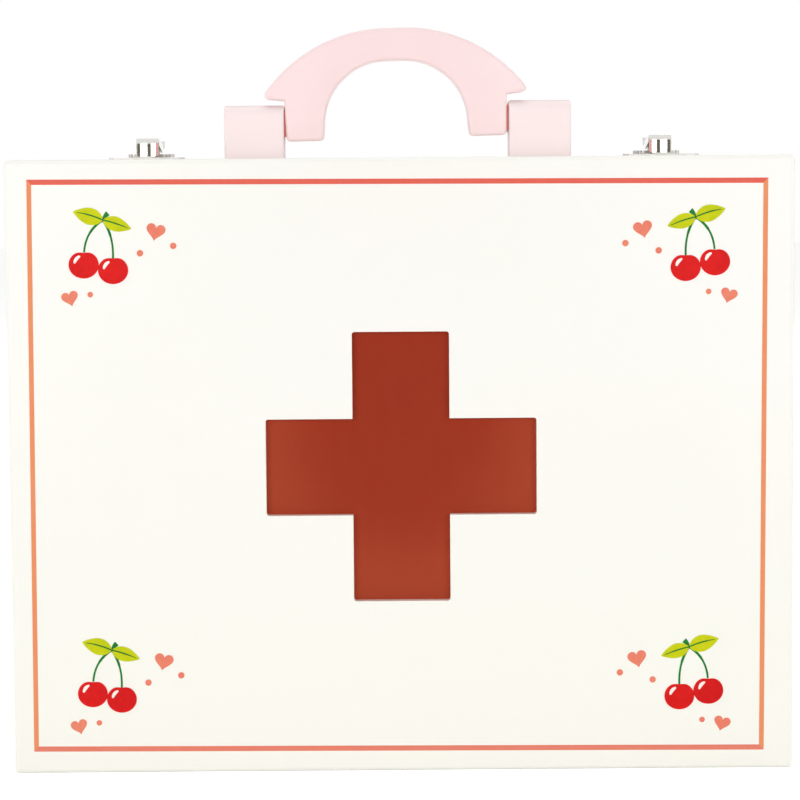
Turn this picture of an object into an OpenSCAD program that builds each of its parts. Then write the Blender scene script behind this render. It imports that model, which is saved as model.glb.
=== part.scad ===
// Toy doctor case. Wooden box in two halves: a shallow front half with a
// cross-shaped window, hinged along the bottom to a deeper rear half that
// carries the handle and two toggle latches. Millimetres, +Z up, front at -Y,
// origin at the middle of the footprint.

/* [Case] */
// Width of the case
case_w = 280; // [240:5:320]
// Height of the case without its handle
case_h = 220; // [190:5:250]
// Depth of the front half, front panel included
lid_d = 30; // [26:1:38]
// Depth of the rear half, back panel included
base_d = 59.5; // [50:0.5:75]
// Gap between the two halves when they are shut
seam_gap = 0.5; // [0.4:0.1:0.8]
// Thickness of the four rails round each half
rail_t = 9; // [8:0.5:12]
// Thickness of the front and back panels
panel_t = 4; // [3:0.5:6]
// Radius of the softened outer edges
edge_r = 1.6; // [0.8:0.1:2]

/* [Window] */
// Length of each bar of the cross, tip to tip
window_span = 96.6; // [80:0.2:120]
// Width of each bar of the cross
window_bar_w = 34.6; // [26:0.2:44]
// Radius of the corners at the tips of the cross
window_corner_r = 1; // [0.4:0.1:2]
// Thickness of the pane behind the window
pane_t = 1.5; // [1:0.1:3]
// How far the pane reaches past the window all round
pane_lap = 8; // [5:0.5:14]

/* [Hinges] */
// Length of each hinge along the seam
hinge_w = 25; // [20:1:32]
// Distance from the middle of the case to the middle of a hinge
hinge_x = 80; // [60:1:95]
// Height of a hinge leaf above the pin
hinge_leaf_h = 6; // [5.6:0.1:6.4]
// Thickness of a hinge leaf
hinge_leaf_t = 0.9; // [0.7:0.05:1.1]
// Radius of the hinge pin
hinge_pin_r = 0.75; // [0.6:0.05:0.9]
// Play between the knuckles and what turns beside them
hinge_play = 0.3; // [0.2:0.05:0.4]
// Angle that the bevels under the seam leave for the lid to open
lid_open = 116; // [100:1:125]

/* [Handle] */
// Height of the handle's pivot above the case
pivot_h = 11; // [10:0.5:12]
// Distance from the seam back to the handle's middle plane
handle_back = 14.75; // [12:0.25:20]
// Thickness of the handle, front to back
handle_t = 14; // [10:0.5:15]
// How far the handle's middle lies from the middle of the case
handle_shift = -0.85; // [-2:0.05:2]
// Lean of the handle in its own plane, from its loose fit
handle_lean = 1.35; // [0:0.05:2]
// Height of the top of the grip above the case
grip_top = 47.2; // [44:0.2:52]
// Height of the underside of the grip above the case
grip_under = 35.4; // [32:0.2:37]
// Half length of the straight middle of the grip
grip_flat = 3.25; // [2:0.25:7]
// Radius of the outer curve of the grip
grip_outer_r = 55.5; // [48:0.5:60]
// Radius of the inner curve of the grip
grip_inner_r = 23.1; // [17:0.1:24]
// Height of the underside of the shoulders above the case
shoulder_h = 22.5; // [21:0.05:25]
// Radius of the tips of the shoulders
shoulder_r = 1.6; // [1:0.1:2.2]
// How far the foot of a leg reaches out from the handle's middle
foot_out = 40.4; // [37:0.1:40.6]
// Where the foot of a leg starts, from the handle's middle
foot_in = 26.7; // [24:0.1:30]
// Height of the foot above the case
foot_h = 7; // [6.8:0.1:8.5]
// Radius of the corners of the foot
foot_r = 1.5; // [0.8:0.1:2.5]

/* [Handle blocks] */
// Distance from the handle's middle to the inner face of a block
block_in = 41.2; // [41:0.1:44]
// Width of the left block
block_left_w = 21.9; // [18:0.1:26]
// Width of the right block
block_right_w = 22.8; // [18:0.1:26]
// How far the left block's top lies below the shoulders' underside
block_left_drop = 3.2; // [3:0.1:5]
// How far the right block's top lies below the shoulders' underside
block_right_drop = 1.9; // [1.6:0.1:5]
// Depth of the blocks
block_d = 14; // [11:0.5:14]
// Radius of the blocks' long top edges
block_top_r = 3.6; // [3.4:0.1:5]
// Radius of the blocks' other outer edges
block_edge_r = 1; // [0.5:0.1:2]
// Radius of the steel pins that the handle turns on
handle_pin_r = 2; // [1.5:0.1:2.5]
// How far a pin reaches into the leg
pin_in_leg = 10; // [7:0.5:12]
// How deep a pin lies below the block's outer face
pin_sunk = 0.6; // [0.2:0.1:2]
// How far the block screws reach into the block
block_bite = 7.5; // [5:0.5:8]
// Distance between the two screws of a block
block_screw_gap = 10; // [8:0.5:12]

/* [Latches] */
// Distance from the middle of the case to each latch, before the shift
latch_spread = 92.8; // [88:0.1:105]
// How far both latches sit to the right
latch_shift = 1.8; // [-3:0.1:3]
// Width of the strike plate
strike_w = 27; // [25:0.5:34]
// Depth of the strike plate
strike_d = 9.3; // [8.6:0.1:11]
// Thickness of the strike plate
strike_t = 0.6; // [0.5:0.1:1]
// Distance from the seam back edge to the strike plate
strike_back = 2.2; // [1:0.1:3]
// Width of the strike's upright tongue
tongue_w = 5; // [4:0.1:6]
// Height of the tongue above the case
tongue_h = 4.8; // [4:0.1:5.2]
// Width of the hook plate
hook_w = 8; // [7.8:0.1:9]
// Height of the hook plate above the case
hook_h = 7.5; // [7:0.1:8]
// Thickness of the hook plate's sheet
hook_t = 0.7; // [0.5:0.05:0.8]
// Distance from the seam to the front of the hook plate
hook_y = 6.6; // [6:0.1:7.4]
// Radius of the hook plate's bow, seen from above
hook_bow = 11; // [9:0.5:16]
// Radius of the bend over the hook plate's front
hook_bend = 2; // [1.2:0.1:2.2]
// Height of the hook plate's lower edge above the case
hook_low = 1.1; // [1.1:0.1:1.8]
// Width of the latch base
latch_base_w = 15.2; // [15:0.1:19]
// Length of the latch base
latch_base_l = 24; // [22:0.5:27]
// Thickness of the latch base
latch_base_t = 1.8; // [1:0.1:1.9]
// Distance from the seam to the lever's pivot
lever_pivot_y = 9; // [8.5:0.1:11]
// Height of the lever's pivot above the case
lever_pivot_h = 4.4; // [4.2:0.1:4.8]
// Distance from the lever's pivot to the hook plate's pin
lever_throw = 3.5; // [3.3:0.05:4]
// Angle that the hook plate's pin lies below the lever's pivot when shut
over_centre = 6.5; // [4:0.5:8]
// Radius of the hook plate's pins
link_pin_r = 0.6; // [0.5:0.05:0.7]
// Thickness of the lever's sheet
lever_t = 0.6; // [0.4:0.05:0.7]
// Width of the lever
lever_w = 4.6; // [4.2:0.1:4.6]
// Width of the lever's finger tab
tab_w = 7.6; // [6.6:0.1:9]
// Radius of the lever's pivot pin
lever_pin_r = 0.8; // [0.6:0.05:0.9]

/* [Screws] */
// Shank radius of the small plate screws
screw_r = 0.9; // [0.7:0.05:1]
// Head radius of the small plate screws
screw_head_r = 1.6; // [1.4:0.05:1.8]
// Wood left under the tips of the screws in the top rails
screw_cover = 2; // [1:0.5:3]
// Length of the hinge screws
hinge_screw_l = 10; // [7:0.5:14]
// Shank radius of the block screws
block_screw_r = 1.6; // [1.2:0.1:2]
// Head radius of the block screws
block_screw_head_r = 3; // [2.6:0.1:3.4]

/* [Fits] */
// Radial play of a pin in what turns on it
running_play = 0.05; // [0.03:0.01:0.08]
// Radial play round pins and screws that stay put
fixed_play = 0.02; // [0.01:0.01:0.05]
// Play between a sheet metal part and the one beside it
sheet_play = 0.2; // [0.15:0.05:0.25]

/* [Hidden] */

$fn = 48;
// Overshoot of a cut past the face it leaves by
cut = 1;

case_d = lid_d + seam_gap + base_d;
front_y = -case_d / 2;
back_y = case_d / 2;
seam_y = front_y + lid_d + seam_gap / 2;
lid_rim_y = seam_y - seam_gap / 2;
base_rim_y = seam_y + seam_gap / 2;
window_z = case_h / 2;
sides = [-1, 1];

knuckle_r = hinge_pin_r + running_play + hinge_leaf_t;
hinge_z = knuckle_r + hinge_play;
bevel_angle = (180 - lid_open) / 2;
bevel_d = hinge_z / tan(bevel_angle);
knuckle_gap = 0.2;
knuckle_l = (hinge_w - 2 * knuckle_gap) / 3;
hinge_screw_inset = 4.5;
hinge_screw_gap = hinge_w - 2 * hinge_screw_inset;
leaf_low_z = hinge_z + knuckle_r + hinge_play;
leaf_top_z = hinge_z + hinge_leaf_h;
hinge_screw_z = (leaf_low_z + leaf_top_z) / 2;

handle_y = seam_y + handle_back;
pivot_z = case_h + pivot_h;
block_screw_l = rail_t + block_bite;
// How far the shoulder's underside falls towards the leg, and the leg's swell
lobe_drop = 0.55;
leg_swell = 0.4;
leg_out = foot_out + leg_swell;
shoulder_blend_a = 15;
bore_end_play = 0.3;

top_screw_l = rail_t - screw_cover;
corner_r = 2.2;
strike_screw_inset = 4.4;
strike_screw_x = strike_w / 2 - strike_screw_inset;
strike_y = -strike_back - strike_d / 2;
tongue_play = 0.15;
tongue_t = 0.8;
bow_y = hook_bow - hook_y;
base_setback = 0.35;
base_front_y = seam_gap / 2 + base_setback;
ear_r = 1.9;
ear_t = 0.6;
ear_in = lever_w / 2 + sheet_play;
ear_spread = 0.9;
link_y = lever_pivot_y + lever_throw * cos(over_centre);
link_z = lever_pivot_h - lever_throw * sin(over_centre);
// The hook plate's roof and its two arms, which pass outside the ears
arm_in = ear_in + ear_t + sheet_play;
arm_end_r = 1.6;
arm_low_z = 4.9;
roof_front_y = -3.4;
roof_rear_y = 2.6;
latch_screw_inset = 2.25;
latch_screw_end = 3.1;
latch_screw_x = latch_base_w / 2 - latch_screw_inset;
latch_screw_front = base_front_y + latch_screw_end;
latch_screw_rear = base_front_y + latch_base_l - latch_screw_end;

// The lever's side view: its flat crown, the slope behind it and the finger tab
crown_front = 0.9;
crown_ease = [0.4, 0.25];
crown_rear = 1.5;
slope_r = 9;
slope_a = 24;
slope_run = 2.6;
tab_r = 4.2;
tab_a = 22;
tab_corner_r = 1.4;
flange_drop = 1.4;
flange_tail = [3.4, 1.1];

// Steps of the curves that are drawn as points
long_steps = 16;
short_steps = 6;
curl_steps = 12;

// Cross recess of a screw, as shares of its head
recess_reach = 0.6;
recess_w = 0.24;
recess_depth = 0.6;

paint = [0.98, 0.97, 0.93];
brick_red = [0.62, 0.22, 0.14];
soft_pink = [0.98, 0.87, 0.88];
pale_pink = [0.99, 0.91, 0.92];
nickel = [0.78, 0.78, 0.77];
steel = [0.62, 0.62, 0.63];
brass = [0.80, 0.68, 0.38];

// Solids drawn as an outline and pushed along one axis

module along_x(x0, x1) {
    translate([x0, 0, 0]) rotate([90, 0, 90]) linear_extrude(x1 - x0) children();
}

module along_y(y0, y1) {
    translate([0, y1, 0]) rotate([90, 0, 0]) linear_extrude(y1 - y0) children();
}

module along_z(z0, z1) {
    translate([0, 0, z0]) linear_extrude(z1 - z0) children();
}

module round_x(x0, x1, y, z, r) {
    translate([x0, y, z]) rotate([0, 90, 0]) cylinder(h = x1 - x0, r = r);
}

// Rectangle from one corner to the other, with round corners
module soft_rect(low, high, r) {
    translate([low[0] + r, low[1]]) square([high[0] - low[0] - 2 * r, high[1] - low[1]]);
    translate([low[0], low[1] + r]) square([high[0] - low[0], high[1] - low[1] - 2 * r]);
    for (x = [low[0] + r, high[0] - r], y = [low[1] + r, high[1] - r])
        translate([x, y]) circle(r);
}

function arc(centre, r, a0, a1, n) =
    [for (i = [0:n]) let (a = a0 + (a1 - a0) * i / n) centre + r * [cos(a), sin(a)]];

function mirrored(half) =
    concat(half, [for (i = [len(half) - 1:-1:0]) [-half[i][0], half[i][1]]]);

// Strip of sheet seen edge on: outline of a path with a thickness
function path_normal(p, i) =
    let (a = p[max(i - 1, 0)], b = p[min(i + 1, len(p) - 1)], d = (b - a) / norm(b - a))
    [-d[1], d[0]];

function strip(p, t) = concat(
    [for (i = [0:len(p) - 1]) p[i] + path_normal(p, i) * t / 2],
    [for (i = [len(p) - 1:-1:0]) p[i] - path_normal(p, i) * t / 2]);

// Countersunk wood screw, head up, its top at the origin
module wood_screw(r, head_r, l) {
    head_h = head_r - r;
    point_h = 2 * r;
    difference() {
        union() {
            translate([0, 0, -head_h]) cylinder(h = head_h, r1 = r, r2 = head_r);
            translate([0, 0, point_h - l]) cylinder(h = l - point_h - head_h / 2, r = r);
            translate([0, 0, -l]) cylinder(h = point_h, r1 = r / 4, r2 = r);
        }
        for (a = [0, 90]) rotate([0, 0, a])
            translate([-head_r * recess_reach, -head_r * recess_w / 2, -head_h * recess_depth])
                cube([2 * head_r * recess_reach, head_r * recess_w, head_h]);
    }
}

// The hole that such a screw sits in
module screw_hole(r, head_r, l) {
    head_h = head_r - r;
    translate([0, 0, -head_h]) cylinder(h = head_h, r1 = r + fixed_play, r2 = head_r + fixed_play);
    translate([0, 0, -l - fixed_play]) cylinder(h = l + fixed_play, r = r + fixed_play);
    cylinder(h = cut, r = head_r + fixed_play);
}

// Case outline seen from the front
module case_outline() {
    soft_rect([-case_w / 2, 0], [case_w / 2, case_h], edge_r);
}

// A panel with softened outer edges; its outer face is at y, on the given side
module panel(y, side) {
    far = y - side * (panel_t + 2 * edge_r);
    low = min(y, far);
    high = max(y, far);
    intersection() {
        along_y(min(y, y - side * panel_t), max(y, y - side * panel_t)) case_outline();
        along_z(0, case_h) soft_rect([-case_w / 2, low], [case_w / 2, high], edge_r);
        along_x(-case_w / 2, case_w / 2) soft_rect([low, 0], [high, case_h], edge_r);
    }
}

module window_outline() {
    half = window_span / 2;
    bar = window_bar_w / 2;
    translate([0, window_z]) {
        soft_rect([-half, -bar], [half, bar], window_corner_r);
        soft_rect([-bar, -half], [bar, half], window_corner_r);
    }
}

module front_panel() {
    color(paint) difference() {
        panel(front_y, -1);
        along_y(front_y - cut, front_y + panel_t + cut) window_outline();
    }
}

module window_pane() {
    half = window_span / 2 + pane_lap;
    color(brick_red) along_y(front_y + panel_t, front_y + panel_t + pane_t)
        soft_rect([-half, window_z - half], [half, window_z + half], window_corner_r);
}

module back_panel() {
    color(paint) panel(back_y, 1);
}

// Rails: the top and bottom ones run the full width, the sides stand between

module top_rail(y0, y1) {
    along_y(y0, y1) intersection() {
        case_outline();
        translate([-case_w / 2, case_h - rail_t]) square([case_w, rail_t]);
    }
}

// The bottom rail, with the bevel that lets the lid swing under the seam
module bottom_rail(y0, y1, side) {
    rim = side > 0 ? y0 : y1;
    intersection() {
        along_y(y0, y1) intersection() {
            case_outline();
            translate([-case_w / 2, 0]) square([case_w, rail_t]);
        }
        difference() {
            translate([-case_w / 2, y0, 0]) cube([case_w, y1 - y0, rail_t]);
            along_x(-case_w / 2 - cut, case_w / 2 + cut) polygon([
                [seam_y, hinge_z],
                [seam_y + side * 2 * bevel_d, -hinge_z],
                [seam_y - side * cut, -hinge_z],
                [seam_y - side * cut, hinge_z]
            ]);
            for (s = sides) hinge_mortise(s * hinge_x, side, rim);
        }
    }
}

module side_rail(s, y0, y1) {
    x = s * (case_w - rail_t) / 2;
    translate([x - rail_t / 2, y0, rail_t]) cube([rail_t, y1 - y0, case_h - 2 * rail_t]);
}

module lid_top_rail() {
    color(paint) difference() {
        top_rail(front_y + panel_t, lid_rim_y);
        for (s = sides) at_latch(s) strike_screw_places() screw_hole(screw_r, screw_head_r, top_screw_l);
    }
}

module lid_bottom_rail() {
    color(paint) bottom_rail(front_y + panel_t, lid_rim_y, -1);
}

module lid_side(s) {
    color(paint) side_rail(s, front_y + panel_t, lid_rim_y);
}

module base_top_rail() {
    color(paint) difference() {
        top_rail(base_rim_y, back_y - panel_t);
        for (s = sides) {
            at_latch(s) latch_screw_places() screw_hole(screw_r, screw_head_r, top_screw_l);
            block_screw_places(s) screw_hole(block_screw_r, block_screw_head_r, block_screw_l);
        }
    }
}

module base_bottom_rail() {
    color(paint) bottom_rail(base_rim_y, back_y - panel_t, 1);
}

module base_side(s) {
    color(paint) side_rail(s, base_rim_y, back_y - panel_t);
}

// Hinges: leaves let into the two rims, knuckles in the bevel under the seam

module hinge_mortise(x, side, rim) {
    half = hinge_w / 2 + hinge_play;
    floor_y = seam_y + side * knuckle_r;
    low = min(floor_y, rim - side * cut);
    high = max(floor_y, rim - side * cut);
    translate([x - half, low, hinge_z])
        cube([2 * half, high - low, leaf_top_z + hinge_play - hinge_z]);
    round_x(x - half, x + half, seam_y, hinge_z, knuckle_r + hinge_play);
    hinge_screw_places(x, side) screw_hole(screw_r, screw_head_r, hinge_screw_l);
}

// Start of a hinge's nth knuckle, counted from the left
function knuckle_x(x, n) = x - hinge_w / 2 + n * (knuckle_l + knuckle_gap);

module hinge_leaf(x, side, turns) {
    back = seam_y + side * knuckle_r;
    low = min(back, back - side * hinge_leaf_t);
    color(brass) difference() {
        union() {
            translate([x - hinge_w / 2, low, leaf_low_z])
                cube([hinge_w, hinge_leaf_t, leaf_top_z - leaf_low_z]);
            for (n = turns) {
                translate([knuckle_x(x, n), low, hinge_z])
                    cube([knuckle_l, hinge_leaf_t, leaf_low_z + hinge_leaf_t - hinge_z]);
                round_x(knuckle_x(x, n), knuckle_x(x, n) + knuckle_l, seam_y, hinge_z, knuckle_r);
            }
        }
        round_x(x - hinge_w, x + hinge_w, seam_y, hinge_z, hinge_pin_r + running_play);
        hinge_screw_places(x, side) screw_hole(screw_r, screw_head_r, hinge_screw_l);
    }
}

module hinge_screw_places(x, side) {
    for (dx = sides)
        translate([x + dx * hinge_screw_gap / 2, seam_y + side * (knuckle_r - hinge_leaf_t),
            hinge_screw_z]) rotate([side * 90, 0, 0]) children();
}

module hinge_screws(side) {
    color(brass) for (s = sides)
        hinge_screw_places(s * hinge_x, side) wood_screw(screw_r, screw_head_r, hinge_screw_l);
}

module hinge_pin(s) {
    color(steel)
        round_x(s * hinge_x - hinge_w / 2, s * hinge_x + hinge_w / 2, seam_y, hinge_z, hinge_pin_r);
}

// Handle and the two blocks that carry it

function block_w(s) = s < 0 ? block_left_w : block_right_w;
function block_h(s) = shoulder_h - (s < 0 ? block_left_drop : block_right_drop);
function block_inner_x(s) = handle_shift + s * block_in;
function block_outer_x(s) = block_inner_x(s) + s * block_w(s);

module block_screw_places(s) {
    x = (block_inner_x(s) + block_outer_x(s)) / 2;
    for (dx = sides) translate([x + dx * block_screw_gap / 2, handle_y, case_h - rail_t])
        rotate([180, 0, 0]) children();
}

module handle_block(s) {
    x0 = min(block_inner_x(s), block_outer_x(s));
    x1 = max(block_inner_x(s), block_outer_x(s));
    y0 = handle_y - block_d / 2;
    y1 = handle_y + block_d / 2;
    top = case_h + block_h(s);
    color(pale_pink) difference() {
        intersection() {
            along_x(x0, x1) soft_rect([y0, case_h - block_top_r], [y1, top], block_top_r);
            along_y(y0, y1) soft_rect([x0, case_h - block_edge_r], [x1, top], block_edge_r);
            along_z(case_h, top) soft_rect([x0, y0], [x1, y1], block_edge_r);
        }
        round_x(x0 - cut, x1 + cut, handle_y, pivot_z, handle_pin_r + fixed_play);
        block_screw_places(s) screw_hole(block_screw_r, block_screw_head_r, block_screw_l);
    }
}

module block_screws() {
    color(steel) for (s = sides)
        block_screw_places(s) wood_screw(block_screw_r, block_screw_head_r, block_screw_l);
}

// The pin runs from the block's outer face into the leg
module handle_pin(s) {
    outer = block_outer_x(s) - s * pin_sunk;
    inner = handle_shift + s * (foot_out - pin_in_leg);
    color(steel) round_x(min(outer, inner), max(outer, inner), handle_y, pivot_z, handle_pin_r);
}

// Right half of the handle's outline, from the top of the grip round to its
// underside. Heights are measured from the pivot.
function handle_half() =
    let (
        outer_c = [grip_flat, grip_top - pivot_h - grip_outer_r],
        inner_c = [grip_flat, grip_under - pivot_h - grip_inner_r],
        tip_z = shoulder_h - pivot_h + shoulder_r,
        reach = grip_outer_r - shoulder_r,
        tip_c = [grip_flat + sqrt(pow(reach, 2) - pow(tip_z - outer_c[1], 2)), tip_z],
        tip_a = atan2(tip_c[1] - outer_c[1], tip_c[0] - outer_c[0]),
        foot_z = foot_h - pivot_h
    )
    concat(
        arc(outer_c, grip_outer_r, 90, tip_a, long_steps),
        arc(tip_c, shoulder_r, tip_a - shoulder_blend_a, -90, short_steps),
        [[leg_out, shoulder_h - pivot_h - lobe_drop]],
        arc([foot_out - foot_r, foot_z + foot_r], foot_r, 0, -90, short_steps),
        arc([foot_in + foot_r, foot_z + foot_r], foot_r, -90, -180, short_steps),
        arc(inner_c, grip_inner_r, 0, 90, long_steps)
    );

module handle() {
    bore = handle_pin_r + running_play;
    color(soft_pink) difference() {
        translate([handle_shift, handle_y, pivot_z]) rotate([0, -handle_lean, 0])
            along_y(-handle_t / 2, handle_t / 2) polygon(mirrored(handle_half()));
        for (s = sides) {
            inner = handle_shift + s * (foot_out - pin_in_leg - bore_end_play);
            outer = handle_shift + s * (leg_out + cut);
            round_x(min(inner, outer), max(inner, outer), handle_y, pivot_z, bore);
        }
    }
}

// Toggle latches. Positions are taken from the seam and the top of the case.

module at_latch(s) {
    translate([s * latch_spread + latch_shift, seam_y, case_h]) children();
}

module strike_screw_places() {
    for (s = sides) translate([s * strike_screw_x, strike_y, strike_t]) children();
}

module latch_screw_places() {
    for (s = sides, y = [latch_screw_front, latch_screw_rear])
        translate([s * latch_screw_x, y, latch_base_t]) children();
}

// Profile turned about the hook's bow and trimmed to a width
module bowed(w) {
    sweep = 80;
    intersection() {
        translate([0, bow_y, 0]) rotate([0, 0, -90 - sweep / 2])
            rotate_extrude(angle = sweep) children();
        translate([-w / 2, -hook_bow, 0]) cube([w, hook_bow, hook_h]);
    }
}

// Strike plate with the upright tongue that the hook plate catches
module strike_plate(s) {
    tongue_r = hook_bow - hook_t - tongue_play - tongue_t;
    color(nickel) at_latch(s) difference() {
        union() {
            along_z(0, strike_t) soft_rect(
                [-strike_w / 2, -strike_back - strike_d], [strike_w / 2, -strike_back], corner_r);
            bowed(tongue_w) translate([tongue_r, strike_t / 2])
                square([tongue_t, tongue_h - strike_t / 2]);
        }
        strike_screw_places() screw_hole(screw_r, screw_head_r, top_screw_l);
    }
}

module strike_screws() {
    color(nickel) for (s = sides)
        at_latch(s) strike_screw_places() wood_screw(screw_r, screw_head_r, top_screw_l);
}

// Latch base: a plate with two upright ears for the lever's pin
module latch_base(s) {
    foot_half = ear_r + ear_spread;
    color(nickel) at_latch(s) difference() {
        union() {
            along_z(0, latch_base_t) soft_rect(
                [-latch_base_w / 2, base_front_y],
                [latch_base_w / 2, base_front_y + latch_base_l], corner_r);
            for (e = sides)
                along_x(min(e * ear_in, e * (ear_in + ear_t)), max(e * ear_in, e * (ear_in + ear_t))) {
                    translate([lever_pivot_y, lever_pivot_h]) circle(ear_r);
                    polygon([
                        [lever_pivot_y - foot_half, latch_base_t / 2],
                        [lever_pivot_y + foot_half, latch_base_t / 2],
                        [lever_pivot_y + ear_r, lever_pivot_h],
                        [lever_pivot_y - ear_r, lever_pivot_h]
                    ]);
                }
        }
        round_x(-latch_base_w, latch_base_w, lever_pivot_y, lever_pivot_h, lever_pin_r + fixed_play);
        latch_screw_places() screw_hole(screw_r, screw_head_r, top_screw_l);
    }
}

module latch_pin(s) {
    half = ear_in + ear_t;
    color(steel) at_latch(s) round_x(-half, half, lever_pivot_y, lever_pivot_h, lever_pin_r);
}

module latch_screws() {
    color(nickel) for (s = sides)
        at_latch(s) latch_screw_places() wood_screw(screw_r, screw_head_r, top_screw_l);
}

// Side view of the lever's sheet: flat over the pivot, down to the rear, and
// curled up at the end as a finger tab
lever_top = lever_pivot_h + ear_r - lever_t / 2;
slope_c = [link_y + crown_rear, lever_top - slope_r];
fall = [sin(slope_a), cos(slope_a)];
dip = slope_c + slope_r * fall + slope_run * [cos(slope_a), -sin(slope_a)];
tab_path = arc(dip + tab_r * fall, tab_r, -90 - slope_a, -tab_a, curl_steps);
lever_path = concat(
    [
        [lever_pivot_y - crown_front, lever_top - crown_ease[1]],
        [lever_pivot_y + crown_ease[0], lever_top]
    ],
    arc(slope_c, slope_r, 90, 90 - slope_a, short_steps),
    tab_path
);

module latch_lever(s) {
    low = link_z - flange_drop;
    color(nickel) at_latch(s) difference() {
        union() {
            along_x(-lever_w / 2, lever_w / 2) polygon(strip(lever_path, lever_t));
            intersection() {
                along_x(-tab_w / 2, tab_w / 2) polygon(strip(tab_path, lever_t));
                along_z(0, 2 * hook_h) soft_rect(
                    [-tab_w / 2, dip[0]], [tab_w / 2, dip[0] + 2 * tab_r], tab_corner_r);
            }
            for (e = sides)
                along_x(min(e * (lever_w / 2 - lever_t), e * lever_w / 2),
                    max(e * (lever_w / 2 - lever_t), e * lever_w / 2)) {
                    translate([lever_pivot_y, lever_pivot_h]) circle(ear_r - lever_t / 2);
                    polygon([
                        [lever_pivot_y, lever_pivot_h - ear_r + lever_t / 2], [link_y, low],
                        [link_y + flange_drop, low],
                        [link_y + flange_tail[0], lever_top - flange_tail[1]],
                        [link_y + crown_rear, lever_top], [lever_pivot_y, lever_top]
                    ]);
                }
        }
        round_x(-lever_w, lever_w, lever_pivot_y, lever_pivot_h, lever_pin_r + running_play);
        round_x(-lever_w, lever_w, link_y, link_z, link_pin_r + running_play);
    }
}

// Hook plate: a bowed front bent over into a roof, and two arms that carry it
// on the lever by a pin each
module latch_hook(s) {
    arm_out = hook_w / 2;
    color(nickel) at_latch(s) {
        bowed(hook_w) {
            translate([hook_bow - hook_t, hook_low])
                square([hook_t, hook_h - hook_bend - hook_low]);
            translate([hook_bow - hook_bend, hook_h - hook_bend]) intersection() {
                difference() {
                    circle(hook_bend);
                    circle(hook_bend - hook_t);
                }
                square(hook_bend);
            }
        }
        along_z(hook_h - hook_t, hook_h) intersection() {
            translate([0, bow_y]) circle(hook_bow - hook_bend);
            translate([-arm_out, -hook_y]) square([hook_w, hook_y + roof_rear_y]);
        }
        for (e = sides) {
            along_x(min(e * arm_in, e * arm_out), max(e * arm_in, e * arm_out)) {
                translate([link_y, link_z]) circle(arm_end_r);
                polygon([
                    [roof_front_y, hook_h - hook_t], [roof_front_y + hook_t, arm_low_z],
                    [link_y, link_z - arm_end_r], [link_y, link_z + arm_end_r],
                    [roof_rear_y, hook_h - hook_t]
                ]);
            }
            round_x(min(e * (lever_w / 2 - lever_t), e * arm_out),
                max(e * (lever_w / 2 - lever_t), e * arm_out), link_y, link_z, link_pin_r);
        }
    }
}

front_panel();
window_pane();
lid_top_rail();
lid_bottom_rail();
lid_side(-1);  // lid_side_left
lid_side(1);  // lid_side_right
strike_plate(-1);  // strike_plate_left
strike_plate(1);  // strike_plate_right
strike_screws();
hinge_leaf(-hinge_x, -1, [1]);  // hinge_lid_leaf_left
hinge_leaf(hinge_x, -1, [1]);  // hinge_lid_leaf_right
hinge_screws(-1);  // hinge_lid_screws
back_panel();
base_top_rail();
base_bottom_rail();
base_side(-1);  // base_side_left
base_side(1);  // base_side_right
hinge_leaf(-hinge_x, 1, [0, 2]);  // hinge_base_leaf_left
hinge_leaf(hinge_x, 1, [0, 2]);  // hinge_base_leaf_right
hinge_screws(1);  // hinge_base_screws
hinge_pin(-1);  // hinge_pin_left
hinge_pin(1);  // hinge_pin_right
handle_block(-1);  // handle_block_left
handle_block(1);  // handle_block_right
block_screws();
handle_pin(-1);  // handle_pin_left
handle_pin(1);  // handle_pin_right
handle();
latch_base(-1);  // latch_base_left
latch_base(1);  // latch_base_right
latch_screws();
latch_pin(-1);  // latch_pin_left
latch_pin(1);  // latch_pin_right
latch_lever(-1);  // latch_lever_left
latch_lever(1);  // latch_lever_right
latch_hook(-1);  // latch_hook_left
latch_hook(1);  // latch_hook_right
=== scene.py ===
import math

import bmesh
import bpy
from mathutils import Matrix, Vector


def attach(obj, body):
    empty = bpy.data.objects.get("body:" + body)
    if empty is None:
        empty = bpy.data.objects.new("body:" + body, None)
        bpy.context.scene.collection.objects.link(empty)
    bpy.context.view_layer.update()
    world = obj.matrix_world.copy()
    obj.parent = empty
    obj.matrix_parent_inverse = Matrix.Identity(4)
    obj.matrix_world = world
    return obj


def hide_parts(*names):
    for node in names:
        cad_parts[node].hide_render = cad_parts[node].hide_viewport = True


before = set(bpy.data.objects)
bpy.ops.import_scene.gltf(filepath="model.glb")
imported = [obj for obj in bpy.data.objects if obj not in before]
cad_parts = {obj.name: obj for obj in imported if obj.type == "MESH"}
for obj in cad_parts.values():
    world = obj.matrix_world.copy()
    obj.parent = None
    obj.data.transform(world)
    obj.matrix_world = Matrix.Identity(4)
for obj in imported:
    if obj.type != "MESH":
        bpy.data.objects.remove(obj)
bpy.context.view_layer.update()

MM = 0.001
FRONT_Y = -45.0  # the front panel's face, in mm
SHARP_ANGLE = math.radians(40)  # edges sharper than this aren't shaded over


# Finishes


class Value:
    """A socket of a node tree, with its arithmetic written as Python."""

    def __init__(self, nodes, socket):
        self.nodes = nodes
        self.socket = socket

    def __add__(self, other):
        return self.nodes.math("ADD", self, other)

    def __radd__(self, other):
        return self.nodes.math("ADD", other, self)

    def __sub__(self, other):
        return self.nodes.math("SUBTRACT", self, other)

    def __rsub__(self, other):
        return self.nodes.math("SUBTRACT", other, self)

    def __mul__(self, other):
        return self.nodes.math("MULTIPLY", self, other)

    def __rmul__(self, other):
        return self.nodes.math("MULTIPLY", other, self)


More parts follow.
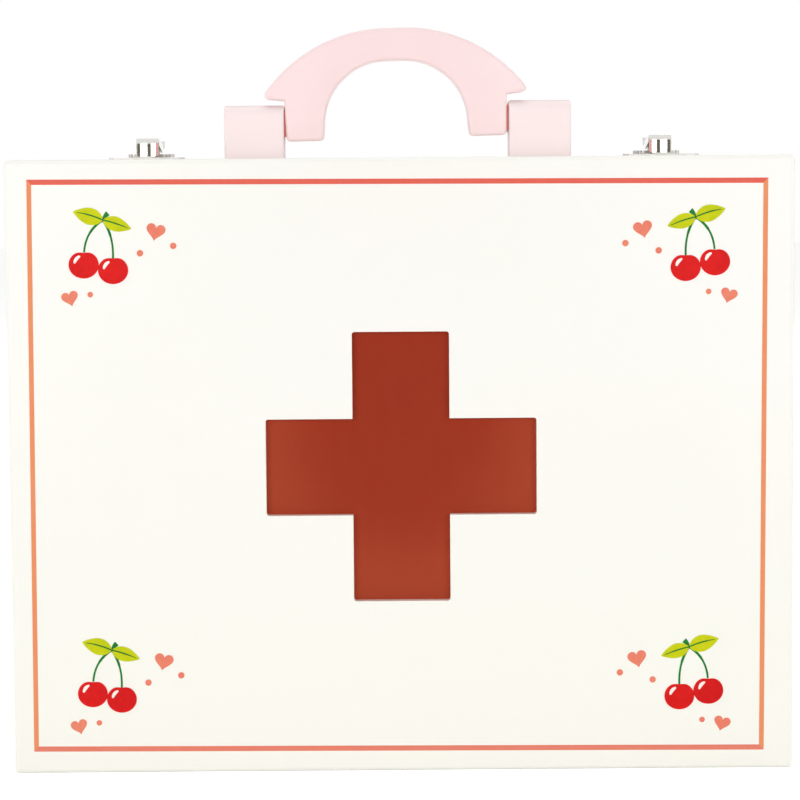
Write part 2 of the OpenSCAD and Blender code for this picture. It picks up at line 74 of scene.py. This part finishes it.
def linear(red, green, blue):
    """A colour as it looks on a screen, 0 to 255, as the light it stands for."""
    parts = []
    for level in (red, green, blue):
        share = level / 255
        parts.append(share / 12.92 if share <= 0.04045 else ((share + 0.055) / 1.055) ** 2.4)
    return (*parts, 1.0)


class Nodes:
    """A node tree, and the one way that nodes are added to it."""

    def __init__(self, tree):
        self.tree = tree

    def plug(self, value, socket):
        if isinstance(value, Value):
            self.tree.links.new(value.socket, socket)
        else:
            socket.default_value = value

    def node(self, kind, settings=None, inputs=None, output=0):
        made = self.tree.nodes.new(kind)
        for key, value in (settings or {}).items():
            setattr(made, key, value)
        for key, value in (inputs or {}).items():
            self.plug(value, made.inputs[key])
        return Value(self, made.outputs[output])

    def math(self, operation, *terms):
        return self.node("ShaderNodeMath", {"operation": operation}, dict(enumerate(terms)))

    def ray(self, kind):
        """1 for light of this kind, 0 for any other."""
        return self.node("ShaderNodeLightPath", output=f"Is {kind} Ray")


class Finish(Nodes):
    """One material: a Principled shader and the nodes that drive it."""

    def __init__(self, name, **fixed):
        self.material = bpy.data.materials.new(name)
        self.material.use_nodes = True
        super().__init__(self.material.node_tree)
        self.shader = self.tree.nodes["Principled BSDF"]
        for socket, value in fixed.items():
            self.shader.inputs[socket.replace("_", " ")].default_value = value
        self.place = self.node("ShaderNodeTexCoord", output="Object")

    def stretched(self, stretch):
        """The place on the piece, with each axis scaled."""
        return self.node(
            "ShaderNodeVectorMath", {"operation": "MULTIPLY"}, {0: self.place, 1: stretch}
        )

    def noise(self, scale, detail=2.0, roughness=0.5, stretch=None):
        place = self.stretched(stretch) if stretch else self.place
        inputs = {"Vector": place, "Scale": scale, "Detail": detail, "Roughness": roughness}
        return self.node("ShaderNodeTexNoise", None, inputs)

    def mix(self, factor, first, second):
        return self.node(
            "ShaderNodeMix", {"data_type": "RGBA"}, {0: factor, 6: first, 7: second}, output=2
        )

    def ramp(self, factor, low, high):
        """0 below low, 1 above high, and a smooth rise between."""
        return self.node(
            "ShaderNodeMapRange",
            {"interpolation_type": "SMOOTHSTEP"},
            {"Value": factor, "From Min": low, "From Max": high},
        )

    def axis(self, name):
        return self.node("ShaderNodeSeparateXYZ", None, {0: self.place}, output=name)

    def colour(self, value):
        self.plug(value, self.shader.inputs["Base Color"])

    def rough(self, value):
        self.plug(value, self.shader.inputs["Roughness"])

    def bump(self, height, depth, strength):
        made = self.node(
            "ShaderNodeBump", None, {"Height": height, "Distance": depth, "Strength": strength}
        )
        self.plug(made, self.shader.inputs["Normal"])


# Noise scales are in patches to a metre, and relief is in metres.
PAINT_CLOUD, PAINT_FIBRE, PAINT_PEEL = 9.0, 60.0, 900.0
PAINT_RELIEF, PAINT_ROUGHNESS = 0.00012, 0.31
# Painted shade at the foot of the case: where it starts and how far it reaches.
PAINTED_SHADE_TOP, PAINTED_SHADE_REACH = 0.2, 0.19  # heights on the case, in metres


def painted_wood(name, body, warm, grain, low=None):
    """Sprayed satin paint over wood: the grain shows faintly through it.

    The paint can turn to a warmer, slightly darker tone towards the foot of the case:
    painted shade, where less light reaches."""
    paint = Finish(name, Coat_Weight=0.15, Coat_Roughness=0.22, Specular_IOR_Level=0.4)
    cloud = paint.noise(PAINT_CLOUD, 3.0)
    fibre = paint.noise(PAINT_FIBRE, 4.0, 0.6, stretch=grain)
    peel = paint.noise(PAINT_PEEL, 1.0)
    tone = paint.mix(paint.ramp(cloud * 0.75 + fibre * 0.25, 0.36, 0.66), body, warm)
    # Painted shade: the paint turns warmer and a little darker towards the foot of the case.
    if low:
        foot = paint.ramp(PAINTED_SHADE_TOP - paint.axis("Z"), 0.0, PAINTED_SHADE_REACH)
        tone = paint.mix(foot, tone, low)
    paint.colour(tone)
    paint.rough(PAINT_ROUGHNESS + fibre * 0.08 + peel * 0.05)
    paint.bump(fibre * 0.6 + peel * 0.4, PAINT_RELIEF, 0.35)
    return paint.material


WEAVE_PITCH, WEAVE_RELIEF = 0.7 * MM, 0.00008
PANE_CLOUD, PANE_SLUB = 14.0, 220.0
PANE_MIDDLE_X, PANE_MIDDLE_Z = -0.001, 0.135
# The pane's paling away from its middle is a painted reflection of the bright studio round a dark
# middle.
SHEEN_ACROSS, SHEEN_DOWN = 18, 14  # how soon the pane pales, to a metre from its middle


def woven_pane(name):
    """Satin sheet with a fine plain weave, seen through the window, with a painted reflection that
    pales it away from its middle.
    """
    pane = Finish(name, Specular_IOR_Level=0.05)
    turns = 2 * math.pi / WEAVE_PITCH
    warp = pane.math("SINE", pane.axis("X") * turns)
    weft = pane.math("SINE", pane.axis("Z") * turns)
    weave = (warp * weft) * 0.5 + 0.5
    cloud = pane.noise(PANE_CLOUD, 3.0)
    slub = pane.noise(PANE_SLUB, 2.0, stretch=(1.0, 1.0, 0.15))
    # Painted reflection: paler towards the outer arms and the foot, darker red in the middle.
    across = (pane.axis("X") - PANE_MIDDLE_X) * SHEEN_ACROSS
    down = (PANE_MIDDLE_Z - pane.axis("Z")) * SHEEN_DOWN
    painted_sheen = pane.ramp(across * across + down * down + cloud * 0.4, 0.3, 1.1)
    base = pane.mix(painted_sheen, linear(151, 47, 25), linear(166, 64, 40))
    pane.colour(pane.mix(weave * 0.12 + slub * 0.1, base, linear(180, 82, 56)))
    pane.rough(0.62 - weave * 0.12)
    pane.bump(weave * 0.8 + slub * 0.2, WEAVE_RELIEF, 0.5)
    return pane.material


METAL_MARKS, METAL_CLOUD, METAL_RELIEF = 420.0, 140.0, 0.00002


def plated(name, colour, dull, roughness, draw):
    """Drawn and plated sheet or wire: fine draw marks and a little unevenness."""
    metal = Finish(name, Metallic=1.0)
    marks = metal.noise(METAL_MARKS, 3.0, 0.65, stretch=draw)
    cloud = metal.noise(METAL_CLOUD, 2.0)
    metal.colour(metal.mix(metal.ramp(cloud, 0.35, 0.7), colour, dull))
    metal.rough(roughness + marks * 0.05 + cloud * 0.03)
    metal.bump(marks * 0.7 + cloud * 0.3, METAL_RELIEF, 0.3)
    return metal.material


FELT_FLUFF, FELT_RELIEF = 700.0, 0.0001


def felt(name, body, deep):
    """Pressed felt: soft, dull and finely mottled."""
    cloth = Finish(name, Specular_IOR_Level=0.1, Sheen_Weight=0.2)
    fluff = cloth.noise(FELT_FLUFF, 3.0, 0.7)
    cloth.colour(cloth.mix(fluff, body, deep))
    cloth.rough(0.85 + fluff * 0.1)
    cloth.bump(fluff, FELT_RELIEF, 0.6)
    return cloth.material


INK_SPECKLE, INK_CLOUD, INK_RELIEF = 420.0, 60.0, 0.00003


def printed(name, body, deep):
    """Screen-printed ink, a little uneven where it lies over the paint."""
    ink = Finish(name, Specular_IOR_Level=0.12)
    speckle = ink.noise(INK_SPECKLE, 3.0, 0.6)
    cloud = ink.noise(INK_CLOUD, 2.0)
    ink.colour(ink.mix(ink.ramp(speckle * 0.5 + cloud * 0.5, 0.35, 0.65), body, deep))
    ink.rough(0.4 + speckle * 0.1)
    ink.bump(speckle, INK_RELIEF, 0.25)
    return ink.material


ALONG_X = (0.04, 1.0, 1.0)
ALONG_Z = (1.0, 1.0, 0.04)

IVORY, WARM_IVORY = linear(247, 245, 240), linear(245, 244, 237)
# The low tone is painted shade for the foot of the case.
PAINTED_SHADE_IVORY = linear(247, 246, 237)
case_paint = painted_wood("ivory_case_paint", IVORY, WARM_IVORY, ALONG_X, PAINTED_SHADE_IVORY)
side_paint = painted_wood("ivory_side_paint", IVORY, WARM_IVORY, ALONG_Z, PAINTED_SHADE_IVORY)
handle_paint = painted_wood(
    "pink_handle_paint", linear(248, 226, 226), linear(246, 219, 220), ALONG_X
)
block_paint = painted_wood(
    "pale_pink_block_paint", linear(248, 234, 234), linear(247, 229, 229), ALONG_X
)
# Painted shade: a deep rose felt for the shaded gap beside each handle foot.
gap_shade_felt = felt("gap_shade_felt", linear(206, 120, 114), linear(190, 100, 94))
red_pane = woven_pane("brick_red_woven_pane")
nickel = plated(
    "bright_nickel_sheet", linear(236, 234, 230), linear(228, 226, 221), 0.06, ALONG_Z
)
base_nickel = plated(
    "nickel_base_plate", linear(178, 175, 171), linear(160, 158, 154), 0.3, ALONG_X
)
strike_nickel = plated(
    "satin_nickel_strike", linear(198, 197, 192), linear(184, 183, 178), 0.42, ALONG_X
)
zinc = plated("zinc_wire", linear(188, 189, 191), linear(168, 170, 173), 0.2, ALONG_X)
brass = plated("brass_sheet", linear(214, 184, 118), linear(196, 163, 96), 0.24, ALONG_X)
top_rule_ink = printed("coral_rule_ink", linear(229, 98, 80), linear(227, 104, 88))
low_rule_ink = printed("pale_coral_rule_ink", linear(232, 127, 104), linear(230, 132, 110))
side_rule_ink = printed("orange_rule_ink", linear(237, 144, 97), linear(235, 149, 103))
coral_ink = printed("coral_ink", linear(236, 138, 110), linear(234, 122, 100))
cherry_ink = printed("cherry_red_ink", linear(224, 20, 18), linear(208, 12, 14))
leaf_ink = printed("lime_leaf_ink", linear(206, 210, 4), linear(190, 200, 4))
stalk_ink = printed("green_stalk_ink", linear(28, 128, 40), linear(18, 112, 34))
glint_ink = printed("white_glint_ink", linear(252, 246, 240), linear(248, 236, 230))

NODE_FINISH = {
    case_paint: [
        "front_panel", "back_panel", "lid_top_rail", "lid_bottom_rail",
        "base_top_rail", "base_bottom_rail",
    ],
    side_paint: ["lid_side_left", "lid_side_right", "base_side_left", "base_side_right"],
    red_pane: ["window_pane"],
    block_paint: ["handle_block_left", "handle_block_right"],
    handle_paint: ["handle"],
    nickel: [
        "latch_lever_left", "latch_lever_right", "latch_hook_left", "latch_hook_right",
        "strike_screws", "latch_screws",
    ],
    strike_nickel: ["strike_plate_left", "strike_plate_right"],
    base_nickel: ["latch_base_left", "latch_base_right"],
    zinc: [
        "latch_pin_left", "latch_pin_right",
        "handle_pin_left", "handle_pin_right", "hinge_pin_left", "hinge_pin_right",
        "block_screws",
    ],
    brass: [
        "hinge_lid_leaf_left", "hinge_lid_leaf_right", "hinge_lid_screws",
        "hinge_base_leaf_left", "hinge_base_leaf_right", "hinge_base_screws",
    ],
}
for material, names in NODE_FINISH.items():
    for name in names:
        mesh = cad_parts[name].data
        mesh.materials.clear()
        mesh.materials.append(material)


# Shapes. Outlines are points (x, z) in mm, seen from the front.


def piece(name, points, faces, finish, body, slot):
    """A mesh from points in millimetres, riding on a body."""
    mesh = bpy.data.meshes.new(name)
    mesh.from_pydata([[c * MM for c in p] for p in points], [], faces)
    shape = bmesh.new()
    shape.from_mesh(mesh)
    bmesh.ops.remove_doubles(shape, verts=shape.verts, dist=1e-7)
    bmesh.ops.recalc_face_normals(shape, faces=shape.faces)
    shape.to_mesh(mesh)
    shape.free()
    mesh.shade_smooth()
    mesh.set_sharp_from_angle(angle=SHARP_ANGLE)
    mesh.materials.append(finish)
    made = bpy.data.objects.new(name, mesh)
    bpy.context.scene.collection.objects.link(made)
    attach(made, body)
    return made


def arc(centre, radius, start, end, steps):
    """Points of an arc between two angles in degrees."""
    turns = [math.radians(start + (end - start) * i / steps) for i in range(steps + 1)]
    return [(centre[0] + radius * math.cos(a), centre[1] + radius * math.sin(a)) for a in turns]


def inset(outline, amount):
    """The outline, which runs anticlockwise, moved inwards."""
    moved = []
    count = len(outline)
    for i, (x, z) in enumerate(outline):
        before = Vector((x - outline[i - 1][0], z - outline[i - 1][1])).normalized()
        after = Vector(
            (outline[(i + 1) % count][0] - x, outline[(i + 1) % count][1] - z)
        ).normalized()
        mean = (before + after).normalized()
        inward = Vector((-mean.y, mean.x))
        reach = amount / max(0.5, before.dot(mean))
        moved.append((x + inward.x * reach, z + inward.y * reach))
    return moved


EDGE_STEPS = 5


def slab(outline, y_front, y_back, edge=0.0):
    """Points and faces of a flat solid seen from the front, with rounded edges."""
    rings = []
    if edge:
        for i in range(EDGE_STEPS + 1):
            turn = math.pi / 2 * i / EDGE_STEPS
            rings.append((edge * (1 - math.sin(turn)), y_front + edge * (1 - math.cos(turn))))
        rings += [(amount, y_front + y_back - y) for amount, y in reversed(rings)]
    else:
        rings = [(0.0, y_front), (0.0, y_back)]
    points, faces = [], []
    count = len(outline)
    for amount, y in rings:
        points += [(x, y, z) for x, z in (inset(outline, amount) if amount else outline)]
    for r in range(len(rings) - 1):
        for i in range(count):
            j = (i + 1) % count
            faces.append(
                (r * count + i, r * count + j, (r + 1) * count + j, (r + 1) * count + i)
            )
    faces.append(tuple(range(count)))
    faces.append(tuple(reversed(range((len(rings) - 1) * count, len(rings) * count))))
    return points, faces


def joined(parts):
    """Several solids as the points and faces of one piece."""
    points, faces = [], []
    for more_points, more_faces in parts:
        start = len(points)
        points += more_points
        faces += [tuple(start + i for i in face) for face in more_faces]
    return points, faces


# Handle. Its outline is measured from the pivot.
PIVOT_Z = 231.0
HANDLE_SHIFT = -0.85
HANDLE_LEAN = math.radians(1.35)
HANDLE_HALF_T, HANDLE_EDGE = 7, 1.2
GRIP_FLAT, GRIP_TOP, GRIP_UNDER = 3.25, 36.2, 24.4
OUTER_R, INNER_R = 55.5, 23.1
SHOULDER_Z, SHOULDER_R, SHOULDER_BLEND, LOBE_DROP = 11.5, 1.6, 10, 0.55
FOOT_Z, FOOT_R, FOOT_IN, FOOT_OUT, LEG_OUT = -4.0, 1.5, 26.7, 40.4, 40.8
ARCH_STEPS, SHOULDER_STEPS, FOOT_STEPS = 28, 8, 6


def handle_outline():
    """The grip's arch, its two shoulders and its two feet."""
    outer_c = (GRIP_FLAT, GRIP_TOP - OUTER_R)
    inner_c = (GRIP_FLAT, GRIP_UNDER - INNER_R)
    tip_z = SHOULDER_Z + SHOULDER_R
    reach = OUTER_R - SHOULDER_R
    tip_c = (GRIP_FLAT + math.sqrt(reach**2 - (tip_z - outer_c[1]) ** 2), tip_z)
    tip_a = math.degrees(math.atan2(tip_c[1] - outer_c[1], tip_c[0] - outer_c[0]))
    half = arc(outer_c, OUTER_R, 90, tip_a, ARCH_STEPS)
    half += arc(tip_c, SHOULDER_R, tip_a - SHOULDER_BLEND, -90, SHOULDER_STEPS)
    half += [(LEG_OUT, SHOULDER_Z - LOBE_DROP)]
    half += arc((FOOT_OUT - FOOT_R, FOOT_Z + FOOT_R), FOOT_R, 0, -90, FOOT_STEPS)
    half += arc((FOOT_IN + FOOT_R, FOOT_Z + FOOT_R), FOOT_R, -90, -180, FOOT_STEPS)
    half += arc(inner_c, INNER_R, 0, 90, ARCH_STEPS)
    whole = half + [(-x, z) for x, z in reversed(half)]
    whole.reverse()
    turn = Matrix.Rotation(HANDLE_LEAN, 2)
    return [
        (HANDLE_SHIFT + p.x, PIVOT_Z + p.y) for p in (turn @ Vector(q) for q in whole)
    ]


handle = piece(
    "handle_grip",
    *slab(handle_outline(), -HANDLE_HALF_T, HANDLE_HALF_T, edge=HANDLE_EDGE),
    handle_paint,
    "handle",
    "pink_paint",
)
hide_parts("handle")

# A dark rose felt pad on each foot, in the narrow gap to the block, is painted shade: it
# stands in for the dark shade there. Its side, and how far it reaches below and above the pivot.
GAP_SHADE_PADS = [("left", -1, -3.2, 6.0), ("right", 1, -1.3, 8.0)]
SHADE_PAD_INNER, SHADE_PAD_OUTER, SHADE_PAD_Y = 40.0, 41.12, 6.0
for name, side, low, high in GAP_SHADE_PADS:
    inner, outer = sorted(HANDLE_SHIFT + side * reach for reach in (SHADE_PAD_INNER, SHADE_PAD_OUTER))
    low, high = PIVOT_Z + low, PIVOT_Z + high
    shade_pad = slab([(inner, low), (outer, low), (outer, high), (inner, high)], -SHADE_PAD_Y, SHADE_PAD_Y)
    piece("gap_shade_pad_" + name, *shade_pad, gap_shade_felt, "handle", "pink_paint")


# Printed decoration
INK = 0.08  # how far each layer of print stands off the paint
PAINT_Y = FRONT_Y + 0.05
PRINT_TURN = math.radians(-0.277)  # the print sits a little askew on the panel
PRINT_MIDDLE = Vector((-1.3, 109.9))


def askew(outline):
    """The outline where it lies on the panel."""
    turn = Matrix.Rotation(PRINT_TURN, 2)
    return [tuple(PRINT_MIDDLE + turn @ (Vector(p) - PRINT_MIDDLE)) for p in outline]


def printed_piece(name, outlines, ink, layer=1):
    """Prints of one colour on the front panel, from their outlines."""
    parts = [slab(askew(outline), FRONT_Y - INK * layer, PAINT_Y) for outline in outlines]
    piece(name, *joined(parts), ink, "lid", "white_paint")


def rectangle(left, right, low, high):
    return [(left, low), (right, low), (right, high), (left, high)]


def rule_strips(left, right, low, high, upright_w, level_w):
    """A rectangle line's four mitred strips: low, right, top and left."""
    a, b = upright_w / 2, level_w / 2
    outer = rectangle(left - a, right + a, low - b, high + b)
    inner = rectangle(left + a, right - a, low + b, high - b)
    return [[outer[i], outer[(i + 1) % 4], inner[(i + 1) % 4], inner[i]] for i in range(4)]


def band(path, widths):
    """A ribbon along a path, with a width at each point."""
    left, right = [], []
    for i, (x, z) in enumerate(path):
        before = path[max(i - 1, 0)]
        after = path[min(i + 1, len(path) - 1)]
        along = Vector((after[0] - before[0], after[1] - before[1])).normalized()
        half = widths[i] / 2
        left.append((x - along.y * half, z + along.x * half))
        right.append((x + along.y * half, z - along.x * half))
    return right + left[::-1]


def bow(start, bend, end, steps=14):
    """Points of a curve that leaves start towards bend and comes to end."""
    points = []
    for i in range(steps + 1):
        t = i / steps
        points.append(
            tuple(
                (1 - t) ** 2 * a + 2 * t * (1 - t) * b + t * t * c
                for a, b, c in zip(start, bend, end)
            )
        )
    return points


FRUIT_R, FRUIT_POINTS = 5.2, 56
FRUIT_DIP, FRUIT_DIP_WIDTH, FRUIT_SWELL, FRUIT_SQUAT = 0.13, 0.42, 0.03, 0.97


def cherry(centre):
    """A round fruit with a dip where the stalk goes in."""
    outline = []
    for i in range(FRUIT_POINTS):
        turn = 2 * math.pi * i / FRUIT_POINTS
        dip = FRUIT_DIP * math.exp(-(((turn - math.pi / 2) / FRUIT_DIP_WIDTH) ** 2))
        radius = FRUIT_R * (1 - dip + FRUIT_SWELL * math.cos(2 * turn))
        outline.append(
            (
                centre[0] + radius * math.cos(turn),
                centre[1] + radius * FRUIT_SQUAT * math.sin(turn),
            )
        )
    return outline


LEAF_STEPS, LEAF_LEAN, LEAF_FULLNESS = 18, 0.8, 0.85


def leaf(root, tip, width):
    """A pointed leaf from its stalk end to its tip."""
    along = Vector((tip[0] - root[0], tip[1] - root[1]))
    across = Vector((-along.y, along.x)).normalized()
    side = []
    for i in range(LEAF_STEPS + 1):
        t = i / LEAF_STEPS
        side.append((t, width / 2 * math.sin(math.pi * t**LEAF_LEAN) ** LEAF_FULLNESS))
    out = [Vector(root) + along * t + across * half for t, half in side]
    back = [Vector(root) + along * t - across * half for t, half in side[1:-1]]
    return [tuple(p) for p in (out + back[::-1])][::-1]


HEART_POINTS, HEART_UNITS = 44, 32


def heart(centre, size, lean):
    """The usual heart curve, which is 32 units wide, turned and set in place."""
    outline = []
    for i in range(HEART_POINTS):
        t = 2 * math.pi * i / HEART_POINTS
        x = 16 * math.sin(t) ** 3
        z = 13 * math.cos(t) - 5 * math.cos(2 * t) - 2 * math.cos(3 * t) - math.cos(4 * t)
        unit = size / HEART_UNITS
        point = Matrix.Rotation(lean, 2) @ Vector((x * unit, z * unit))
        outline.append((centre[0] + point.x, centre[1] + point.y))
    return outline[::-1]


DOT_POINTS = 28


def dot(centre, radius):
    return arc(centre, radius, 0, 360 * (1 - 1 / DOT_POINTS), DOT_POINTS - 1)


# One corner's picture, measured in mm from its middle
FRUIT = [(-5.4, -5.6), (5.0, -7.6)]
STALK_FOOT = [((-5.2, -1.2), (-4.6, 6.4)), ((5.0, -3.4), (5.4, 4.6))]
STALK_JOIN, STALK_BEND, STALK_END = (1.6, 10.2), (2.2, 11.6), (3.4, 12.6)
STALK_W = [0.7] * 8 + [0.9] * 7
STALK_END_W = [1.0, 1.1, 1.2, 1.4, 1.6, 1.8, 1.9]
LEAVES = [((-9.0, 13.2), 6.0), ((11.6, 7.0), 5.2)]
VEINS = [((-3.2, 12.4), (-7.6, 12.9)), ((5.6, 9.4), (10.4, 7.3))]
VEIN_W = [0.5] * 10 + [0.4, 0.35, 0.3, 0.25, 0.2]
GLINT_R, GLINT_START, GLINT_END = 3.3, 112, 172
GLINT_W = [0.5, 0.8, 1, 1.1, 1.2, 1.2, 1.2, 1.1, 1, 0.8, 0.5]
HEARTS = [((20.2, 6.2), 6.8, -0.2), ((-10.4, -17.4), 6.0, 0.25)]
DOTS = [((14.6, -1.6), 1.15), ((26.4, 1.0), 1.15), ((-3.2, -16.2), 1.0)]


def sprig(centre, side):
    """One corner's picture: two cherries on a stalk with leaves, hearts and dots."""

    def at(place):
        return (centre[0] + side * place[0], centre[1] + place[1])

    join = at(STALK_JOIN)
    tail = bow(join, at(STALK_BEND), at(STALK_END), len(STALK_END_W) - 1)
    glint_arc = (GLINT_R, GLINT_START, GLINT_END, len(GLINT_W) - 1)
    stalks = [band(bow(at(foot), at(bend), join), STALK_W) for foot, bend in STALK_FOOT]
    stalks.append(band(tail, STALK_END_W))
    leaves = [leaf(join, at(tip), width) for tip, width in LEAVES]
    veins = [band(bow(join, at(bend), at(tip)), VEIN_W) for bend, tip in VEINS]
    fruit = [cherry(at(place)) for place in FRUIT]
    glints = [band(arc(at(place), *glint_arc), GLINT_W) for place in FRUIT]
    coral = [heart(at(place), size, side * lean) for place, size, lean in HEARTS]
    coral += [dot(at(place), radius) for place, radius in DOTS]
    return stalks, leaves, veins, fruit, glints, coral


CORNERS = [(-107.0, 188.0, 1), (106.0, 188.5, -1), (-105.6, 34.0, 1), (104.6, 34.6, -1)]
RULE_SIDES, RULE_W = (-131.5, 129.2, 8.3, 211.6), (1.7, 1.85)
stalks, leaves, veins, fruit, glints, coral = (
    [outline for group in kind for outline in group]
    for kind in zip(*(sprig((x, z), side) for x, z, side in CORNERS))
)
low_rule, right_rule, top_rule, left_rule = rule_strips(*RULE_SIDES, *RULE_W)
printed_piece("print_rule_top", [top_rule], top_rule_ink)
printed_piece("print_rule_low", [low_rule], low_rule_ink)
printed_piece("print_rule_sides", [left_rule, right_rule], side_rule_ink)
printed_piece("print_stalks", stalks, stalk_ink)
printed_piece("print_leaves", leaves, leaf_ink, 2)
printed_piece("print_leaf_veins", veins, stalk_ink, 3)
printed_piece("print_cherries", fruit, cherry_ink, 2)
printed_piece("print_cherry_glints", glints, glint_ink, 3)
printed_piece("print_hearts_and_dots", coral, coral_ink)


# Camera
CAMERA_PLACE = (-0.0003, -1.0501, 0.2202)
CAMERA_PITCH, CAMERA_ROLL = math.radians(-4.905), math.radians(-0.445)
forward = Vector((0, math.cos(CAMERA_PITCH), math.sin(CAMERA_PITCH)))
right = Vector((1, 0, 0))
level = Matrix((right, right.cross(forward), -forward)).transposed()
turned = level @ Matrix.Rotation(CAMERA_ROLL, 3, "Z")

camera = bpy.data.objects.new("camera", bpy.data.cameras.new("camera"))
bpy.context.scene.collection.objects.link(camera)
bpy.context.scene.camera = camera
bpy.context.scene.view_settings.view_transform = "Standard"
camera.data.lens = 127.53
camera.data.sensor_width = 36
camera.data.clip_end = 100
camera.matrix_world = Matrix.Translation(CAMERA_PLACE) @ turned.to_4x4()


# Studio
FLOOR_REACH, FLOOR_GLOW = 6, 0.57
FLOOR_PALE, FLOOR_PALER = (0.86, 0.86, 0.86, 1), (0.88, 0.88, 0.88, 1)


def studio_sheet(name, points, finish):
    """A four-cornered sheet that belongs to the studio."""
    mesh = bpy.data.meshes.new(name)
    mesh.from_pydata(points, [], [(0, 1, 2, 3)])
    mesh.materials.append(finish.material)
    made = bpy.data.objects.new(name, mesh)
    bpy.context.scene.collection.objects.link(made)
    return made


def level_sheet(reach_x, reach_y, z):
    """Corners of a level sheet about the origin."""
    return [(x, y, z) for x, y in rectangle(-reach_x, reach_x, -reach_y, reach_y)]


# The floor is pale paper that the camera sees as white, with the shadow left on it.
paper = Finish("floor_paper", Roughness=0.9, Specular_IOR_Level=0.1)
paper.colour(paper.mix(paper.noise(40.0, 2.0), FLOOR_PALE, FLOOR_PALER))
shown = (paper.ray("Camera") + paper.ray("Glossy")) * FLOOR_GLOW
glow = paper.node("ShaderNodeEmission", None, {"Strength": shown})
both = paper.node("ShaderNodeAddShader", None, {0: Value(paper, paper.shader.outputs[0]), 1: glow})
paper.plug(both, paper.tree.nodes["Material Output"].inputs["Surface"])
studio_sheet("floor", level_sheet(FLOOR_REACH, FLOOR_REACH, 0), paper)

STUDIO_LIGHT = 0.402  # what the studio's white walls add to the lamps
world = bpy.data.worlds.new("studio")
bpy.context.scene.world = world
world.use_nodes = True
walls = Nodes(world.node_tree)
seen = walls.math("MAXIMUM", walls.ray("Glossy"), walls.ray("Transmission"))
seen = walls.math("MAXIMUM", walls.ray("Camera"), seen)
strength = walls.node(
    "ShaderNodeMapRange", None, {"Value": seen, "To Min": STUDIO_LIGHT, "To Max": 1.0}
)
background = walls.tree.nodes["Background"]
walls.plug(strength, background.inputs["Strength"])
walls.plug((1, 1, 1, 1), background.inputs["Color"])

# Each lamp's name, place, target, size and power
LAMPS = [
    ("lamp_front_left", (-0.72, -1.9, 0.42), (-0.02, 0, 0.08), (0.8, 0.9), 10.4),
    ("lamp_front_right", (0.68, -1.9, 0.42), (0, 0, 0.08), (0.8, 0.9), 8.7),
    ("lamp_top", (0.0, 0.2, 2.2), (0, 0, 0.1), (1.6, 1.2), 12),
    ("lamp_left", (-2.1, -0.1, 0.5), (0, 0, 0.15), (1.0, 1.0), 8),
    ("lamp_right", (2.1, -0.1, 0.5), (0, 0, 0.15), (1.0, 1.0), 8),
    ("lamp_back", (0.5, 2.4, 0.9), (0, 0, 0.12), (1.2, 1.0), 13),
]


def soft_lamp(name, place, target, size, power):
    lamp = bpy.data.lights.new(name, "AREA")
    lamp.shape = "RECTANGLE"
    lamp.size, lamp.size_y = size
    lamp.energy = power
    made = bpy.data.objects.new(name, lamp)
    made.location = place
    made.rotation_mode = "QUATERNION"
    made.rotation_quaternion = (Vector(target) - Vector(place)).to_track_quat("-Z", "Y")
    made.visible_camera = False
    bpy.context.scene.collection.objects.link(made)


for lamp in LAMPS:
    soft_lamp(*lamp)


def reflection(name, points, dim, bright):
    """A glowing cloth that shows only in bright metal, as a reflection there."""
    cloth = Finish(
        name + "_cloth", Emission_Strength=1.0, Base_Color=(0, 0, 0, 1), Specular_IOR_Level=0.0
    )
    fold = cloth.mix(cloth.noise(3.0, 2.0), dim, bright)
    cloth.plug(fold, cloth.shader.inputs["Emission Color"])
    made = studio_sheet(name, points, cloth)
    made.visible_camera = made.visible_diffuse = made.visible_shadow = False
    return made


def upright_sheet(left, right, y, low, high):
    """Corners of an upright sheet that faces the front or the back."""
    return [(x, y, z) for x, z in rectangle(left, right, low, high)]


# Dark upright gaps between the soft boxes: the azimuth and the share in degrees
GAPS = [(0, 12), (39, 11), (-39, 11), (150, 12), (-150, 12)]
GAP_RADIUS, GAP_LOW, GAP_HIGH = 2.3, -0.5, 0.75
GAP_DIM, GAP_BRIGHT = linear(86, 79, 63), linear(106, 98, 79)
for number, (azimuth, share) in enumerate(GAPS):
    half = GAP_RADIUS * math.tan(math.radians(share / 2))
    corners = upright_sheet(-half, half, -GAP_RADIUS, GAP_LOW, GAP_HIGH)
    gap = reflection(f"studio_gap_{number}", corners, GAP_DIM, GAP_BRIGHT)
    gap.rotation_euler.z = math.radians(azimuth)

# Painted reflection: a pink glowing sheet just in front of the latches, seen only in bright metal,
# lays a pink stripe in them.
PINK_DIM, PINK_BRIGHT = linear(228, 160, 156), linear(236, 176, 170)
reflection("pink_glow", upright_sheet(-0.034, 0.037, -0.135, 0.2, 0.27), PINK_DIM, PINK_BRIGHT)

CEILING_DIM, CEILING_BRIGHT = linear(238, 238, 236), linear(244, 244, 242)
reflection("studio_ceiling", level_sheet(3, 2.5, 0.76), CEILING_DIM, CEILING_BRIGHT)
